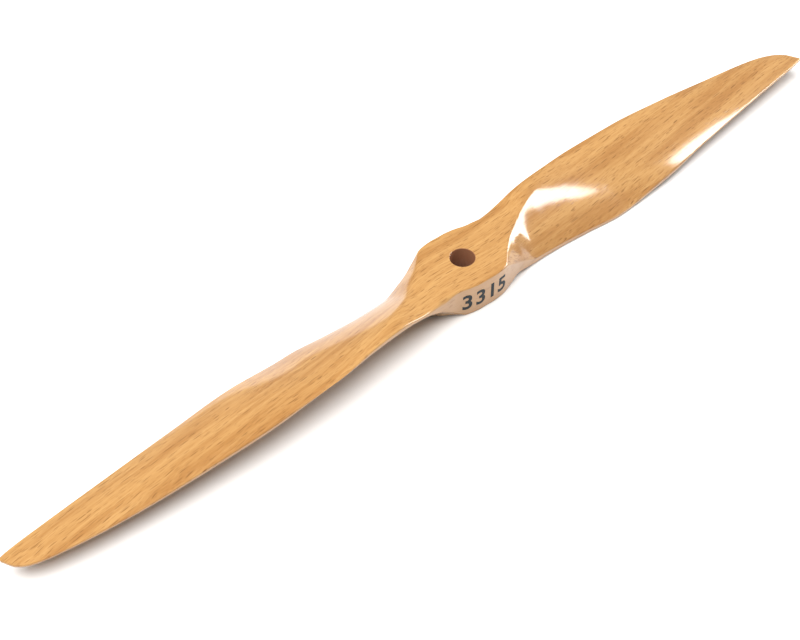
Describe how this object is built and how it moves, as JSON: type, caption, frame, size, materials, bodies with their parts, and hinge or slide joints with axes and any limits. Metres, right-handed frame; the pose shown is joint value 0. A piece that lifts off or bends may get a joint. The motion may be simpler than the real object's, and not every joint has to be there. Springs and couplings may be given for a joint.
{
  "type": "two-blade wooden model aircraft propeller",
  "caption": "Two-blade tractor propeller carved from one beech board, clear lacquered, with a flat-faced hub and a plain through bore.",
  "frame": {"origin": "the bore's axis at the hub's back face", "axes": "+Z forward along the bore, from the hub's back face to its front face; the blades lie along X; seen from the front the propeller turns anticlockwise, so the +X blade leads with its +Y edge"},
  "size_m": [0.3302, 0.0264, 0.0142],
  "materials": {
    "beech": "flat-sawn beech with short dark flecks, under clear gloss lacquer",
    "ink": "dark grey stamping ink under the lacquer"
  },
  "bodies": {
    "root": {"propeller": "beech", "size_mark_1": "ink", "size_mark_2": "ink", "size_mark_3": "ink", "size_mark_4": "ink"}
  },
  "joints": []
}
